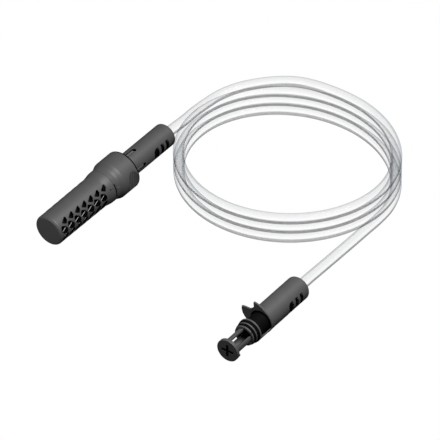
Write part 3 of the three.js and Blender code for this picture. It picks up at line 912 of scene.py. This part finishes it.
def valve_button():
    disc = Body().turned([(0, 0), (0, 13.1, 0.7), (4, 13.1, 0.5), (4, 0)], steps=5)
    arm, half = 7.4, 1.5
    corners = [
        (half, half), (half, arm), (-half, arm), (-half, half), (-arm, half), (-arm, -half),
        (-half, -half), (-half, -arm), (half, -arm), (half, -half), (arm, -half), (arm, half),
    ]
    outline = rounded(soft_corners(corners, 0.3), 3)
    rows = [
        [(s, p.x, p.y) for p in grown(outline, by)]
        for s, by in ((-0.4, 0.6), (0.2, 0), (1.2, -0.1))
    ]
    cross = Body().rows(rows, wrap=False, caps=True)
    face = carved(disc.finished(), ("DIFFERENCE", cross.finished()))
    rest = Body()
    for angle in (-91, 29, 149):
        rest.along(arc_box(6.7, 9.2, angle, 48), 3, 36)
    rest.along(radial_box(10.5, 13, 1.5, -108), 3, 6)
    rest.turned([(34, 6.7), (48, 6.7), (48, 9.2), (34, 9.2)])
    rest.turned([
        (46, 0), (46, 7.2), (48, 7.2), (48, 2.4, 0.4), (61.9, 2.4), (61.9, 8), (64.4, 8),
        (64.8, 3.2), (67, 3), (67, 0),
    ])
    return joined(face, rest.finished())


# ------------------------------------------------------------------ springs
def spring(node, fitting, s0, s1, radius, wire, turns):
    """A wire coil from s0 to s1, in the place of a CAD node, with a mesh of its own."""
    steps, length = round(turns * 48), s1 - s0 - 2 * wire
    line = []
    for k in range(steps + 1):
        a = 2 * math.pi * turns * k / steps
        s = s0 + wire + length * k / steps
        line.append(Vector((s, radius * math.sin(a), radius * math.cos(a))))
    body = piece(node, Body().tube(line, wire, 12).finished(), fitting, STEEL)
    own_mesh(body)


# ------------------------------------------------------------------ the fine pieces
def paint_basket(basket, frame_faces):
    """Painted black all over as shade, and pale as a painted highlight where a slat catches the
    light behind the row of larger windows.
    """
    basket.data.materials.append(RUBBER_AND_PAINTED_SHADE)
    basket.data.materials.append(PAINTED_HIGHLIGHT_PLASTIC)
    for k, face in enumerate(basket.data.polygons):
        around = math.degrees(math.atan2(abs(face.center.y), face.center.z))
        lit = min(abs(around - 75), abs(around - 105)) < 6
        face.material_index = 2 if lit and k >= frame_faces else 1


# The black faces on these pieces are painted shade: window reveals, bores, groove floors, the
# collar's end, the plug's neck and the button's cross.
paint_shade_black(piece("strainer_cage", strainer_cage(), STRAINER, CHARCOAL), painted_shade_in_windows)
basket, basket_frame_faces = strainer_basket()
paint_basket(piece("strainer_basket", basket, STRAINER, INNER_PLASTIC), basket_frame_faces)
paint_shade_black(piece("strainer_head", strainer_head(), STRAINER, CHARCOAL), painted_shade_at_collar_end)
piece("outlet_spigot", outlet_spigot(), STRAINER, INNER_PLASTIC)
paint_shade_black(piece("outlet_sleeve", outlet_sleeve(), STRAINER, CHARCOAL), painted_shade_in_sleeve)
paint_shade_black(piece("coupling_sleeve", coupling_sleeve(), COUPLING, CHARCOAL), painted_shade_in_sleeve)
paint_shade_black(piece("coupling_plug", coupling_plug(), COUPLING, CHARCOAL), painted_shade_on_neck)
paint_shade_black(piece("valve_button", valve_button(), COUPLING, CHARCOAL), painted_shade_in_cross)
piece("plug_seal_front", Body().turned(o_ring(32.95, 11.5, 1.15)).finished(), COUPLING, RUBBER_AND_PAINTED_SHADE)
piece("plug_seal_rear", Body().turned(o_ring(37.85, 12.4, 1.3)).finished(), COUPLING, RUBBER_AND_PAINTED_SHADE)
spring("foot_valve_spring", STRAINER, 102.9, 111.7, 5, 0.45, 4.5)
spring("valve_spring", COUPLING, 65.2, 74, 5.4, 0.5, 4)

# The sealed inner pieces keep their CAD shapes.
NODE_MATERIALS = {
    "strainer_mesh": GAUZE, "coupling_retaining_clip": STEEL, "cage_seal_ring": RUBBER_AND_PAINTED_SHADE,
    "foot_valve_gasket": RUBBER_AND_PAINTED_SHADE, "outlet_spigot_seal": RUBBER_AND_PAINTED_SHADE, "valve_button_seal": RUBBER_AND_PAINTED_SHADE,
    "foot_valve_seat": INNER_PLASTIC, "foot_valve_poppet": INNER_PLASTIC,
    "outlet_hose_collet": INNER_PLASTIC, "coupling_hose_barb": INNER_PLASTIC,
    "coupling_hose_collet": INNER_PLASTIC,
}
for name, material in NODE_MATERIALS.items():
    node = frame["nodes"][name]
    node.data.materials.clear()
    node.data.materials.append(material)


# ------------------------------------------------------------------ stage
AROUND, BELOW = 0.09, 0.02  # how bright the studio and the light table are as lights


def seen_rays(nodes, links):
    """1 for what the camera sees, also through clear things, and 0 for what lights the object."""
    path, seen = nodes.new("ShaderNodeLightPath"), nodes.new("ShaderNodeMath")
    seen.operation = "MAXIMUM"
    links.new(path.outputs["Is Camera Ray"], seen.inputs[0])
    links.new(path.outputs["Is Transmission Ray"], seen.inputs[1])
    return seen.outputs["Value"]


def make_floor():
    """A light table: plain white to look at, and only a dim grey as a light from below."""
    material, nodes, links, _ = node_tree("light_table")
    glow = nodes.new("ShaderNodeEmission")
    strength = spread(nodes, links, seen_rays(nodes, links), BELOW, 1)
    links.new(strength, glow.inputs["Strength"])
    links.new(glow.outputs["Emission"], nodes["Material Output"].inputs["Surface"])
    mesh = bmesh.new()
    bmesh.ops.create_grid(mesh, x_segments=1, y_segments=1, size=30)
    data = bpy.data.meshes.new("floor")
    mesh.to_mesh(data)
    mesh.free()
    data.materials.append(material)
    floor = bpy.data.objects.new("floor", data)
    floor.location.z = -0.0002  # a hair below what lies on it
    bpy.context.scene.collection.objects.link(floor)


def make_light(name, place, target, size, power):
    """A round lamp that the camera doesn't see."""
    data = bpy.data.lights.new(name, "AREA")
    data.shape = "DISK"
    data.size, data.energy = size, power
    light = bpy.data.objects.new(name, data)
    light.location = place
    light.visible_camera = False
    light.rotation_mode = "QUATERNION"
    light.rotation_quaternion = (Vector(target) - Vector(place)).to_track_quat("-Z", "Y")
    bpy.context.scene.collection.objects.link(light)


def make_world():
    """White where the camera sees it, plainly or through the clear hose, and dimmer as a light."""
    world = bpy.data.worlds.new("studio")
    bpy.context.scene.world = world
    world.use_nodes = True
    nodes, links = world.node_tree.nodes, world.node_tree.links
    background = nodes["Background"]
    background.inputs["Color"].default_value = (1, 1, 1, 1)
    strength = spread(nodes, links, seen_rays(nodes, links), AROUND, 1)
    links.new(strength, background.inputs["Strength"])


make_floor()
make_world()
make_light("key", (0.05, -0.6, 1.5), (0.05, 0, 0), 1.0, 32)
make_light("end_fill", (-0.45, 0.2, 0.12), (-0.08, 0.13, 0.02), 0.1, 0.55)
bpy.context.scene.view_settings.view_transform = "Standard"
bpy.context.scene.cycles.transparent_max_bounces = 64
